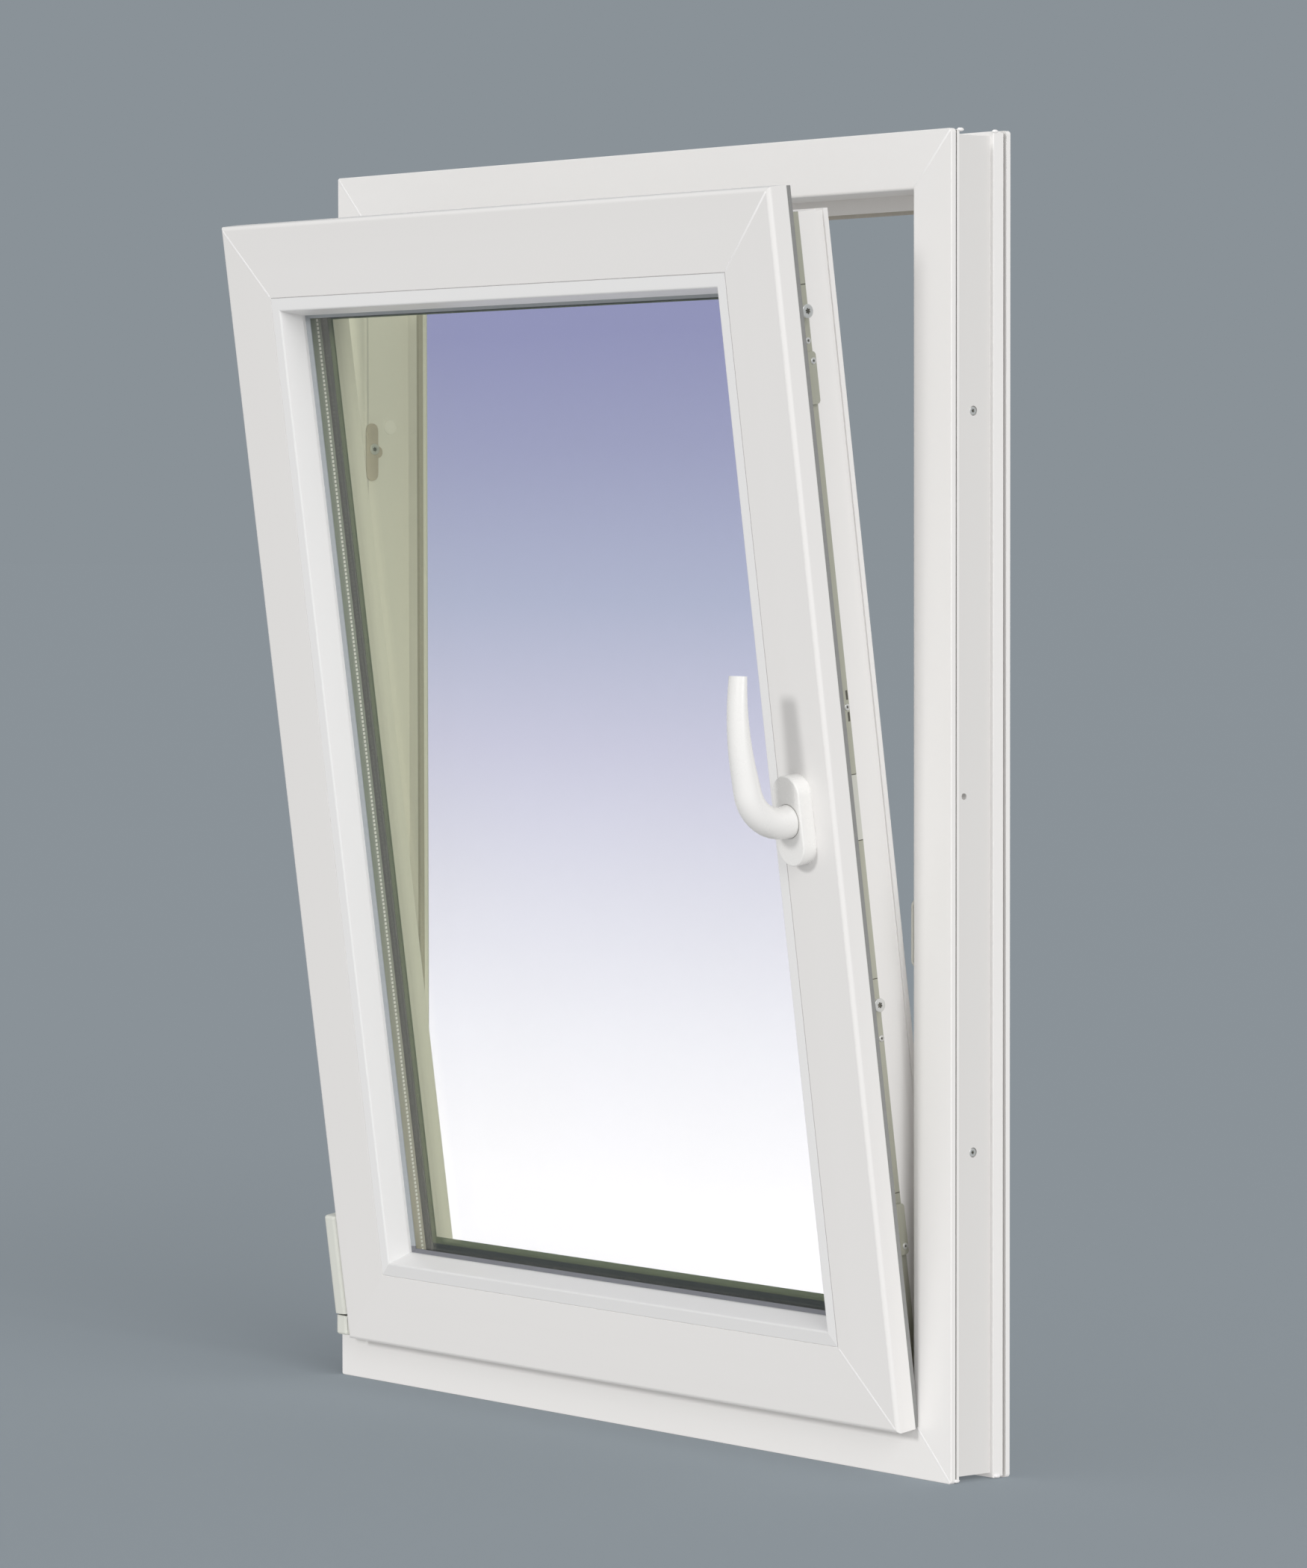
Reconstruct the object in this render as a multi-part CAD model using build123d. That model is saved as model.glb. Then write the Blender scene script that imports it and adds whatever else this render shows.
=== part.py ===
from build123d import *
from math import cos, radians, sin, sqrt
import os

# A tilt and turn window of plastic profiles, standing tilted into the room. Millimetres and degrees.
# X runs to the right as seen from the room, Y outwards through the wall and Z up.

# Overall sizes and the tilt of the sash
window_width = 800.0
window_height = 1035.0
tilt_angle = 7.7

# Frame profile: u is counted from its outer side towards the opening, v from its room face outwards
frame_depth = 60.0
frame_face = 45.0
upstand_height = 12.0
upstand_depth = 14.0
upstand_slope = 4.0
leg_front = 4.5
leg_rear = 4.0
rib_gap = 1.8
rib_width = 2.9
rib_setback = 0.8
slot_depth = 8.0
channel_end = 43.5
channel_depth = 4.5
pad_width = 7.0
pad_step = 0.8
frame_arris = 2.5
edge_radius = 0.7
corner_radius = 3.0

# Holes through the jambs for the frame screws, and one blind hole between them
fixing_radius = 3.75
fixing_drop = 214.0
fixing_rise = 253.0
pilot_radius = 2.5
pilot_depth = 8.0
pilot_shift = 9.4
pilot_lift = 9.0

# Sash profile: u from its outer edge inwards, v from its room face outwards
overlap = 7.0
sash_depth = 75.0
sash_face = 62.0
flange_depth = 18.5
flange_gap = 3.5
rebate_step = 22.0
sash_arris = 3.5
sash_edge_radius = 1.2
lip_slope = 7.0
lip_radius = 1.5
back_recess_edge = 5.0
back_recess_width = 7.5
back_recess_depth = 1.5
seam_chamfer = 0.5

# Groove in the sash for the locking gear
plate_start = 27.0
plate_width = 18.0
plate_thickness = 2.5
rod_groove_width = 12.0
rod_groove_depth = 9.5

# Glazing beads, glass unit and seals
bead_width = 17.0
bead_depth = 21.0
bead_slope = 6.0
bead_arris = 2.0
bead_edge = 2.5
bead_edge_radius = 1.0
seam_gap = 0.3
seam_depth = 1.2
bead_foot_start = 12.0
bead_foot_width = 3.0
bead_foot_depth = 4.0
foot_clearance = 0.2
gasket_thickness = 3.0
pane_thickness = 4.0
spacer_width = 12.0
spacer_height = 6.5
glass_edge_cover = 14.0
edge_seal_height = 5.0
seal_lip = 3.0
seal_root = 5.0
seal_tip_width = 0.8
outer_seal_rise = 5.0
outer_seal_tip = 2.4
outer_seal_width = 6.0

# Seal between sash and frame
sash_seal_reach = 4.5
sash_seal_edge = 0.8
sash_seal_width = 6.7
seal_stem_start = 3.5
seal_stem_width = 3.0
seal_stem_depth = 3.0
sash_seal_radius = 1.2
seal_squeeze = 0.2
frame_seal_clearance = 0.2
frame_seal_width = 5.0
frame_seal_bevel = 0.4

# Bottom hinge: the sash tilts and turns about the ball of its pin
hinge_side_gap = 0.3
hinge_width = 18.0
hinge_front = 21.5
hinge_ball_rise = 10.0
hinge_ball_setback = 9.0
hinge_ball_radius = 3.2
ball_clearance = 0.3
ball_neck_radius = 1.9
bearing_floor = 2.4
bearing_plate = 2.8
bearing_back = 2.2
barrel_radius = 4.5
barrel_drop = 1.0
wrap_thickness = 2.2
wrap_start = 14.0
wrap_end = 90.0
cover_wall = 1.4
cover_gap = 3.4
cover_break = 17.6
cover_height = 86.0
cover_corner = 5.0

# Handle, whose height on the sash is a share of the sash's own
handle_share = 0.5016
handle_inset = 39.5
rosette_width = 31.5
rosette_height = 70.0
rosette_depth = 13.0
rosette_edge = 1.2
neck_radius = 13.0
lever_width = 18.0
lever_thickness = 10.5
lever_rise = 117.0
lever_standoff = 46.5
lever_bend = 31.0
lever_sweep = 7.5
lever_crest = 0.65

# Locking gear on the sash: its upper parts are counted from the top, the middle ones from the handle's spindle
# and the lowest ones from the bottom
cam_radius = 5.0
cam_waist_radius = 3.6
cam_height = 9.5
cam_collar = 1.5
cam_head = 2.5
upper_leg = 77.0
upper_cam_drop = 97.0
lift_plate_drop = 128.0
raised_plate_length = 40.0
raised_plate_height = 4.0
raised_plate_margin = 0.5
raised_plate_radius = 3.0
gearbox_above = 28.0
gearbox_below = 23.0
middle_plate_below = 131.0
lower_cam_below = 150.0
support_plate_rise = 131.0
lower_leg = 179.0
corner_leg = 90.0
tilt_cam_inset = 60.0

# Keepers on the frame: the left one is counted down from its top and the right one from the handle's spindle
keeper_length = 53.0
keeper_width = 12.0
keeper_base = 2.2
keeper_edge = 0.6
keeper_lip = 4.0
keeper_lip_length = 40.0
keeper_height = 6.5
keeper_clearance = 0.7
right_keeper_below = 107.0
left_keeper_drop = 211.0
left_keeper_length = 49.0
left_keeper_base = 1.6
lobe_radius = 5.0
lobe_shift = 5.5

# Stay at the top of the hinge side
stay_length = 270.0
stay_width = 14.0
stay_thickness = 3.0
stay_pin_radius = 3.2
stay_eye_clearance = 0.4
stay_bearing_height = 44.0
stay_rail_length = 400.0
stay_clearance = 2.5
stay_joint = 150.0
link_length = 90.0
slider_length = 38.0
slider_width = 14.0
slider_radius = 3.0
slider_pin_radius = 3.0
stack_gap = 0.3

# Sizes that follow
sash_margin = frame_face - overlap
sash_width = window_width - 2 * sash_margin
sash_height = window_height - 2 * sash_margin
sash_front = -(flange_depth + flange_gap)
sash_left = -sash_width / 2
sash_bottom = sash_margin
hinge_x = sash_left - hinge_side_gap - hinge_width / 2
hinge_y = -hinge_ball_setback
hinge_z = sash_bottom + hinge_ball_rise
channel_start = leg_front + rib_gap + rib_width
channel_middle = (channel_start + channel_end) / 2
glass_front = bead_depth + gasket_thickness
glass_back = glass_front + 2 * pane_thickness + spacer_width
lip_front = glass_back + outer_seal_width
sight_line = sash_face + bead_width
glass_edge = sight_line - glass_edge_cover
handle_drop = handle_share * sash_height
rod_groove_start = plate_start + (plate_width - rod_groove_width) / 2
plate_middle = plate_start + plate_width / 2


def corner_fillet(face, points, radius):
    """Rounds the corners of a section that lie at the given points."""
    corners = [face.vertices().sort_by_distance((v, u, 0))[0] for v, u in points]
    return fillet(corners, radius)


def section(points):
    """A closed section from (v, u) points."""
    return make_face(Polyline(*points, close=True))


def frame_section():
    rear_slot = frame_depth - leg_rear
    pad_end = channel_end + pad_width
    upstand_front = frame_depth - upstand_depth
    top = frame_face + upstand_height
    rib_start = leg_front + rib_gap
    points = [
        (0, 0), (leg_front, 0), (leg_front, slot_depth), (rib_start, slot_depth),
        (rib_start, rib_setback), (channel_start, rib_setback), (channel_start, channel_depth),
        (channel_end, channel_depth), (channel_end, rib_setback), (pad_end, rib_setback),
        (pad_end, rib_setback + pad_step), (rear_slot - rib_gap, rib_setback + pad_step),
        (rear_slot - rib_gap, slot_depth), (rear_slot, slot_depth), (rear_slot, 0), (frame_depth, 0),
        (frame_depth, top - upstand_slope), (frame_depth - upstand_slope, top),
        (upstand_front, top), (upstand_front, frame_face), (0, frame_face),
    ]
    face = section(points)
    face = corner_fillet(face, [(0, frame_face)], frame_arris)
    rounded = [(0, 0), (rib_start, rib_setback), (channel_start, rib_setback), (channel_end, rib_setback)]
    return corner_fillet(face, rounded, edge_radius)


def sash_section():
    stem_end = seal_stem_start + seal_stem_width
    plate_end = plate_start + plate_width
    groove_end = rod_groove_start + rod_groove_width
    seat = rebate_step + plate_thickness
    recess_end = sash_depth - back_recess_edge
    recess_start = recess_end - back_recess_width
    foot_end = bead_foot_start + bead_foot_width
    recess = rebate_step + back_recess_depth
    points = [
        (0, 0), (flange_depth, 0), (flange_depth, seal_stem_start),
        (flange_depth - seal_stem_depth, seal_stem_start), (flange_depth - seal_stem_depth, stem_end),
        (flange_depth, stem_end), (flange_depth, rebate_step), (plate_start, rebate_step),
        (plate_start, seat), (rod_groove_start, seat), (rod_groove_start, seat + rod_groove_depth),
        (groove_end, seat + rod_groove_depth), (groove_end, seat), (plate_end, seat),
        (plate_end, rebate_step), (recess_start, rebate_step), (recess_start, recess),
        (recess_end, recess), (recess_end, rebate_step), (sash_depth, rebate_step),
        (sash_depth, sight_line - lip_slope), (lip_front, sight_line), (lip_front, sash_face),
        (foot_end, sash_face), (foot_end, sash_face - bead_foot_depth),
        (bead_foot_start, sash_face - bead_foot_depth), (bead_foot_start, sash_face),
        (seam_chamfer, sash_face), (0, sash_face - seam_chamfer),
    ]
    face = section(points)
    face = corner_fillet(face, [(0, 0)], sash_arris)
    face = corner_fillet(face, [(flange_depth, 0), (sash_depth, rebate_step)], sash_edge_radius)
    return corner_fillet(face, [(lip_front, sight_line), (sash_depth, sight_line - lip_slope)], lip_radius)


def bead_section():
    foot_front = bead_foot_start + foot_clearance
    foot_back = bead_foot_start + bead_foot_width - foot_clearance
    foot_tip = sash_face - bead_foot_depth + foot_clearance
    slope_start = sight_line - bead_slope
    points = [
        (0, sash_face + seam_gap), (0, slope_start), (bead_depth - bead_edge, sight_line),
        (bead_depth, sight_line), (bead_depth, sash_face), (foot_back, sash_face),
        (foot_back, foot_tip), (foot_front, foot_tip), (foot_front, sash_face), (seam_depth, sash_face),
        (seam_depth, sash_face + seam_gap),
    ]
    face = section(points)
    face = corner_fillet(face, [(0, slope_start)], bead_arris)
    return corner_fillet(face, [(bead_depth - bead_edge, sight_line)], bead_edge_radius)


def inner_seal_section():
    root = sight_line - seal_root
    tip = sight_line + seal_lip
    return section([
        (bead_depth, root), (bead_depth, sight_line), (glass_front - seal_tip_width, tip), (glass_front, tip),
        (glass_front, root),
    ])


def outer_seal_section():
    root = sight_line - seal_root
    tip = sight_line + outer_seal_rise
    return section([
        (glass_back, root), (glass_back, tip), (glass_back + outer_seal_tip, tip),
        (lip_front, sight_line - lip_radius), (lip_front, root),
    ])


def sash_seal_section():
    edge = sash_seal_edge
    inner = edge + sash_seal_width
    tip = flange_depth + sash_seal_reach
    stem_end = seal_stem_start + seal_stem_width
    stem_root = flange_depth - seal_stem_depth
    face = section([
        (flange_depth, edge), (tip, edge), (tip, inner), (flange_depth, inner),
        (flange_depth, stem_end), (stem_root, stem_end), (stem_root, seal_stem_start),
        (flange_depth, seal_stem_start),
    ])
    return corner_fillet(face, [(tip, edge), (tip, inner)], sash_seal_radius)


def frame_seal_section():
    """A flat seal along the inner edge of the frame's upstand, up to the body of the sash."""
    front = frame_depth - upstand_depth
    back = front + frame_seal_width
    root = frame_face + upstand_height
    tip = sash_margin + rebate_step - frame_seal_clearance
    return section([
        (front, root), (front + frame_seal_bevel, tip), (back - frame_seal_bevel, tip), (back, root),
    ])


def member(profile, width, height, side):
    """One mitred length of a rectangle of profiles, standing on z = 0 and centred on x = 0."""
    reach = profile.bounding_box().max.Y
    half = width / 2
    corners = {
        "bottom": [(-half, 0), (half, 0), (half - reach, reach), (-half + reach, reach)],
        "top": [(half, height), (-half, height), (-half + reach, height - reach), (half - reach, height - reach)],
        "left": [(-half, height), (-half, 0), (-half + reach, reach), (-half + reach, height - reach)],
        "right": [(half, 0), (half, height), (half - reach, height - reach), (half - reach, reach)],
    }[side]
    inwards = {"bottom": (0, 0, 1), "top": (0, 0, -1), "left": (1, 0, 0), "right": (-1, 0, 0)}[side]
    start = {"bottom": (0, 0, 0), "top": (0, 0, height), "left": (-half, 0, height / 2),
             "right": (half, 0, height / 2)}[side]
    length = width if side in ("bottom", "top") else height
    run = Vector(0, 1, 0).cross(Vector(*inwards))
    laid = Plane(origin=start, x_dir=(0, 1, 0), z_dir=run) * profile
    bar = extrude(laid, amount=length / 2, both=True)
    depths = profile.bounding_box()
    mitre = make_face(Polyline(*[(x, depths.min.X - 1, z) for x, z in corners], close=True))
    block = extrude(mitre, amount=depths.max.X - depths.min.X + 2, dir=(0, 1, 0))
    return bar & block


def ring(profile, width, height):
    sides = [member(profile, width, height, side) for side in ("bottom", "top", "left", "right")]
    return sides[0] + sides[1] + sides[2] + sides[3]


def in_sash(shape):
    """Moves a shape from the sash's own frame into the closed sash's place."""
    return Pos(0, sash_front, sash_bottom) * shape


def tilted(shape):
    """Tilts a shape of the closed sash into the room about the ball of the bottom hinge."""
    return shape.rotate(Axis((0, hinge_y, hinge_z), (1, 0, 0)), tilt_angle)


def block(low, high):
    size = [b - a for a, b in zip(low, high)]
    middle = [(a + b) / 2 for a, b in zip(low, high)]
    return Pos(*middle) * Box(*size)


def round_bar(start, direction, radius, length):
    return extrude(Plane(origin=start, z_dir=direction) * Circle(radius), amount=length)


parts = {}

# Frame
jamb_holes = [fixing_rise, window_height - fixing_drop]
outline_plane = Plane(origin=(0, 0, window_height / 2), x_dir=(1, 0, 0), z_dir=(0, 1, 0))
outline = outline_plane * RectangleRounded(window_width, window_height, corner_radius)
rounded_outline = extrude(outline, amount=frame_depth)
for side, name in (("bottom", "frame_sill"), ("top", "frame_head"), ("left", "frame_left_jamb"),
                   ("right", "frame_right_jamb")):
    bar = member(frame_section(), window_width, window_height, side) & rounded_outline
    if side in ("left", "right"):
        out = -1 if side == "left" else 1
        edge = out * window_width / 2
        for height in jamb_holes:
            start = (edge - out * (frame_face + 1), channel_middle, height)
            bar -= round_bar(start, (out, 0, 0), fixing_radius, frame_face + 2)
        pilot_end = edge - out * (channel_depth + pilot_depth)
        pilot = (pilot_end, channel_middle - pilot_shift, window_height / 2 + pilot_lift)
        bar -= round_bar(pilot, (out, 0, 0), pilot_radius, channel_depth + pilot_depth + 1)
    parts[name] = bar
parts["frame_gasket"] = ring(frame_seal_section(), window_width, window_height)

# Sash, beads and glass
sash_pieces = {}
for side, name in (("bottom", "sash_bottom_rail"), ("top", "sash_top_rail"), ("left", "sash_left_stile"),
                   ("right", "sash_right_stile")):
    sash_pieces[name] = member(sash_section(), sash_width, sash_height, side)
for side in ("bottom", "top", "left", "right"):
    sash_pieces["bead_" + side] = member(bead_section(), sash_width, sash_height, side)
sash_pieces["glazing_gasket_inner"] = ring(inner_seal_section(), sash_width, sash_height)
sash_pieces["glazing_gasket_outer"] = ring(outer_seal_section(), sash_width, sash_height)
half_glass = sash_width / 2 - glass_edge
for name, depth in (("glass_inner", glass_front), ("glass_outer", glass_back - pane_thickness)):
    sash_pieces[name] = block((-half_glass, depth, glass_edge),
                              (half_glass, depth + pane_thickness, sash_height - glass_edge))
spacer_front = glass_front + pane_thickness
spacer_back = spacer_front + spacer_width
spacer_outer = glass_edge + edge_seal_height
spacer_inner = spacer_outer + spacer_height
sash_pieces["spacer_bar"] = ring(section([
    (spacer_front, spacer_outer), (spacer_front, spacer_inner), (spacer_back, spacer_inner),
    (spacer_back, spacer_outer)]), sash_width, sash_height)
sash_pieces["edge_seal"] = ring(section([
    (spacer_front, glass_edge), (spacer_front, spacer_outer), (spacer_back, spacer_outer),
    (spacer_back, glass_edge)]), sash_width, sash_height)
sash_seal = ring(sash_seal_section(), sash_width, sash_height)

# Locking gear along the right stile, with its outer surface level with the rebate of the sash
stile_right = sash_width / 2
gear_face = stile_right - rebate_step
gear_top = sash_height - rebate_step
gear_bottom = rebate_step


def side_plate(top, bottom):
    """A length of faceplate in the groove of the right stile, between two distances below the sash's top."""
    return block((gear_face - plate_thickness, plate_start, sash_height - bottom),
                 (gear_face, plate_start + plate_width, sash_height - top))


def cam(centre, direction):
    """A mushroom cam: a collar, a waist and a wider head."""
    collar = round_bar(centre, direction, cam_radius, cam_collar)
    waist = round_bar(centre, direction, cam_waist_radius, cam_height)
    head = Vector(*centre) + Vector(*direction) * (cam_height - cam_head)
    return collar + waist + round_bar(head, direction, cam_radius, cam_head)


def raised_plate(low_end):
    """A thick plate with rounded corners on the face of the locking gear."""
    centre = (gear_face, plate_middle, low_end + raised_plate_length / 2)
    base = Plane(origin=centre, x_dir=(0, 0, 1), z_dir=(1, 0, 0))
    width = plate_width - 2 * raised_plate_margin
    return extrude(base * RectangleRounded(raised_plate_length, width, raised_plate_radius),
                   amount=raised_plate_height)


def corner_drive(corner_z, other_end, inwards):
    """An angle of faceplate round a corner of the lock side, with a leg on the stile and one on the rail."""
    low, high = sorted((corner_z, other_end))
    upright = block((gear_face - plate_thickness, plate_start, low), (gear_face, plate_start + plate_width, high))
    low, high = sorted((corner_z, corner_z + inwards * plate_thickness))
    flat = block((gear_face - corner_leg, plate_start, low), (gear_face, plate_start + plate_width, high))
    return upright + flat


lock_plate_breaks = [upper_leg, handle_drop - gearbox_above, handle_drop + gearbox_below,
                     handle_drop + middle_plate_below, sash_height - lower_leg]
sash_pieces["corner_drive_top"] = corner_drive(gear_top, sash_height - upper_leg, -1)
sash_pieces["corner_drive_bottom"] = corner_drive(gear_bottom, lower_leg, 1) + raised_plate(support_plate_rise)
for name, top, bottom in zip(("faceplate_upper", "gearbox_plate", "faceplate_middle", "faceplate_lower"),
                             lock_plate_breaks[:-1], lock_plate_breaks[1:]):
    sash_pieces[name] = side_plate(top, bottom)
for name, drop in (("cam_upper", upper_cam_drop), ("cam_lower", handle_drop + lower_cam_below)):
    sash_pieces[name] = cam((gear_face, plate_middle, sash_height - drop), (1, 0, 0))
tilt_cam_x = gear_face - tilt_cam_inset
sash_pieces["cam_bottom"] = cam((tilt_cam_x, plate_middle, gear_bottom), (0, 0, -1))
sash_pieces["lift_plate"] = raised_plate(sash_height - lift_plate_drop - raised_plate_length)
stay_rail_start = -gear_face + plate_thickness
sash_pieces["faceplate_top"] = block(
    (stay_rail_start, plate_start, gear_top - plate_thickness),
    (stay_rail_start + stay_rail_length, plate_start + plate_width, gear_top))


def handle_lever():
    """A neck that comes straight out of the base and bends up into a slender grip."""
    grip_y = -lever_standoff
    path = FilletPolyline(
        (handle_x, -rosette_depth, handle_z), (handle_x, grip_y, handle_z),
        (handle_x, grip_y - lever_sweep, handle_z + lever_rise * lever_crest),
        (handle_x, grip_y, handle_z + lever_rise),
        radius=[lever_bend, 2 * lever_rise])
    root = Plane(origin=(handle_x, -rosette_depth, handle_z), x_dir=(1, 0, 0), z_dir=(0, -1, 0))
    tip = Plane(origin=path @ 1, x_dir=(1, 0, 0), z_dir=path % 1)
    sections = [root * Circle(neck_radius), tip * Ellipse(lever_width / 2, lever_thickness / 2)]
    return sweep(sections, path=path, multisection=True)


handle_x = stile_right - handle_inset
handle_z = sash_height - handle_drop
base_plane = Plane(origin=(handle_x, 0, handle_z), x_dir=(0, 0, 1), z_dir=(0, -1, 0))
base = extrude(base_plane * SlotOverall(rosette_height, rosette_width), amount=rosette_depth)
sash_pieces["handle_base"] = fillet(base.faces().sort_by(Axis.Y)[0].edges(), rosette_edge)
sash_pieces["handle_lever"] = handle_lever()


# Bottom hinge, built in the closed position
def hinge_cover(bottom, height, round_end):
    """A cap over hinge metal. With round_end 0 its lower end is rounded off, with -1 its upper one."""
    half = hinge_width / 2
    cap = block((hinge_x - half, -hinge_front, bottom), (hinge_x + half, 0, bottom + height))
    cap = fillet(cap.edges().filter_by(Axis.Z).group_by(Axis.Y)[0], cover_corner)
    end = cap.faces().sort_by(Axis.Z)[round_end]
    return fillet(end.edges().sort_by(Axis.Y)[0], cover_corner / 2)


ball_centre = (hinge_x, hinge_y, hinge_z)
floor = sash_bottom + bearing_floor
half_block = hinge_width / 2 - cover_wall
bearing = block((hinge_x - half_block, -hinge_front + cover_wall, floor),
                (hinge_x + half_block, 0, floor + bearing_plate))
bearing += block((hinge_x - half_block, -bearing_back, floor),
                 (hinge_x + half_block, 0, sash_bottom + cover_break))
bearing += round_bar((hinge_x, hinge_y, floor), (0, 0, 1), ball_neck_radius, hinge_z - floor)
bearing += Pos(*ball_centre) * Sphere(hinge_ball_radius)
parts["bottom_bearing"] = bearing

cap = hinge_cover(floor - cover_wall, cover_break - bearing_floor + cover_wall, 0)
cap -= block((hinge_x - half_block, -hinge_front + cover_wall, floor),
             (hinge_x + half_block, 1, sash_bottom + cover_break + 1))
parts["bottom_bearing_cover"] = cap

barrel_bottom = hinge_z - barrel_drop
cover_bottom = sash_bottom + cover_break + cover_gap
barrel_top = cover_bottom + cover_height - 2 * cover_wall
wrap_front = sash_front + flange_depth
leaf_low = hinge_z + wrap_start
leaf_high = hinge_z + wrap_end
body_left = sash_left + rebate_step
hinge = round_bar((hinge_x, hinge_y, barrel_bottom), (0, 0, 1), barrel_radius, barrel_top - barrel_bottom)
hinge -= Pos(*ball_centre) * Sphere(hinge_ball_radius + ball_clearance)
hinge += block((hinge_x - wrap_thickness / 2, hinge_y, leaf_low),
               (hinge_x + wrap_thickness / 2, wrap_front + wrap_thickness, leaf_high))
hinge += block((hinge_x - wrap_thickness / 2, wrap_front, leaf_low),
               (body_left, wrap_front + wrap_thickness, leaf_high))
leaf_end = sash_front + plate_start + plate_width
hinge += block((body_left - wrap_thickness, wrap_front, leaf_low),
               (body_left, sash_front + plate_middle, leaf_high))
hinge += block((body_left, sash_front + plate_start, leaf_low),
               (body_left + plate_thickness, leaf_end, leaf_high))
parts["sash_hinge"] = tilted(hinge)

cap = hinge_cover(cover_bottom, cover_height, -1)
cap -= block((hinge_x - hinge_width, wrap_front - cover_wall, cover_bottom - 1),
             (hinge_x + hinge_width, 1, cover_bottom + cover_height + 1))
cap -= round_bar((hinge_x, hinge_y, cover_bottom - 1), (0, 0, 1), barrel_radius + ball_clearance,
                 barrel_top + ball_clearance - cover_bottom + 1)
cap -= block((hinge_x - wrap_thickness, hinge_y, cover_bottom - 1), (hinge_x + wrap_thickness, 1, leaf_high + 1))
parts["sash_hinge_cover"] = tilted(cap)

seal_gap = block((sash_left - 1, sash_front + flange_depth - seal_stem_depth - 1, leaf_low - 1),
                 (body_left, 0, leaf_high + 1))
against_frame = block((-window_width, -seal_squeeze, -1), (window_width, frame_depth, window_height))
parts["sash_gasket"] = tilted(in_sash(sash_seal) - seal_gap) - against_frame


# Stay from the head of the frame to the top of the sash
def tilted_point(y, z):
    turn = radians(tilt_angle)
    run, rise = y - hinge_y, z - hinge_z
    return hinge_y + run * cos(turn) - rise * sin(turn), hinge_z + rise * cos(turn) + run * sin(turn)


def bar_between(start, end, z):
    """A flat bar with round ends, from one pivot to another."""
    run = Vector(end[0] - start[0], end[1] - start[1], 0)
    middle = ((start[0] + end[0]) / 2, (start[1] + end[1]) / 2, z)
    outline = Plane(origin=middle, x_dir=run, z_dir=(0, 0, 1)) * SlotOverall(run.length + stay_width, stay_width)
    return extrude(outline, amount=stay_thickness)


def eye(centre, z):
    start = (centre[0], centre[1], z - 1)
    return round_bar(start, (0, 0, 1), stay_pin_radius + stay_eye_clearance, stay_thickness + 2)


lip_y, lip_z = tilted_point(sash_front + sash_depth, sash_bottom + gear_top)
arm_z = lip_z + stay_clearance
seat_y, seat_z = tilted_point(sash_front + plate_middle, sash_bottom + gear_top)
lean = sin(radians(tilt_angle)) / cos(radians(tilt_angle))
arm_y = seat_y - (arm_z + stay_thickness / 2 - seat_z) * lean
link_z = arm_z + stay_thickness + stack_gap
link_y = seat_y - (link_z + stay_thickness / 2 - seat_z) * lean
stay_reach = sqrt(stay_length ** 2 - (arm_y - hinge_y) ** 2)
arm_start = (hinge_x, hinge_y)
arm_end = (hinge_x + stay_reach, arm_y)
joint = (hinge_x + stay_reach * stay_joint / stay_length,
         hinge_y + (arm_y - hinge_y) * stay_joint / stay_length)
link_end = (joint[0] - sqrt(link_length ** 2 - (link_y - joint[1]) ** 2), link_y)
parts["stay_arm"] = (bar_between(arm_start, arm_end, arm_z) - eye(arm_start, arm_z) - eye(arm_end, arm_z)
                     - eye(joint, arm_z))
link = bar_between(joint, link_end, link_z) - eye(link_end, link_z)
parts["stay_link"] = link + round_bar((joint[0], joint[1], arm_z), (0, 0, 1), stay_pin_radius, link_z - arm_z + 1)


def slider(x, arm_level):
    """A block that runs along the top of the sash, with a pin for an arm."""
    top = gear_top + (arm_level - stack_gap - seat_z) / cos(radians(tilt_angle)) - slider_width / 2 * lean
    body = block((x - slider_length / 2, plate_middle - slider_width / 2, gear_top),
                 (x + slider_length / 2, plate_middle + slider_width / 2, top))
    body = fillet(body.edges().filter_by(Axis.Z), slider_radius)
    return body + round_bar((x, plate_middle, top), (0, 0, 1), slider_pin_radius, stay_thickness + 2)


parts["stay_sliders"] = tilted(in_sash(slider(arm_end[0], arm_z) + slider(link_end[0], link_z)))

stay_floor = arm_z - stack_gap - stay_bearing_height
bearing = block((hinge_x - half_block, -hinge_front + cover_wall, stay_floor),
                (hinge_x + half_block, 0, arm_z - stack_gap))
bearing += round_bar((hinge_x, hinge_y, arm_z - 1), (0, 0, 1), stay_pin_radius, stay_thickness + 3)
parts["stay_bearing"] = bearing
cap = hinge_cover(stay_floor - cover_wall, stay_bearing_height - stack_gap, 0)
cap -= block((hinge_x - half_block, -hinge_front + cover_wall, stay_floor),
             (hinge_x + half_block, 1, arm_z + 1))
parts["stay_bearing_cover"] = cap


# Keepers
def keeper(origin, along, outwards):
    """A long plate with round ends and a raised lip that holds a cam from the room side."""
    base = Plane(origin=origin, x_dir=along, z_dir=outwards)
    plate = extrude(base * SlotOverall(keeper_length, keeper_width), amount=keeper_base)
    lip = base * Pos(0, lip_line - keeper_line, keeper_height / 2)
    return plate + lip * Box(keeper_lip_length, keeper_lip, keeper_height)


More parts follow.
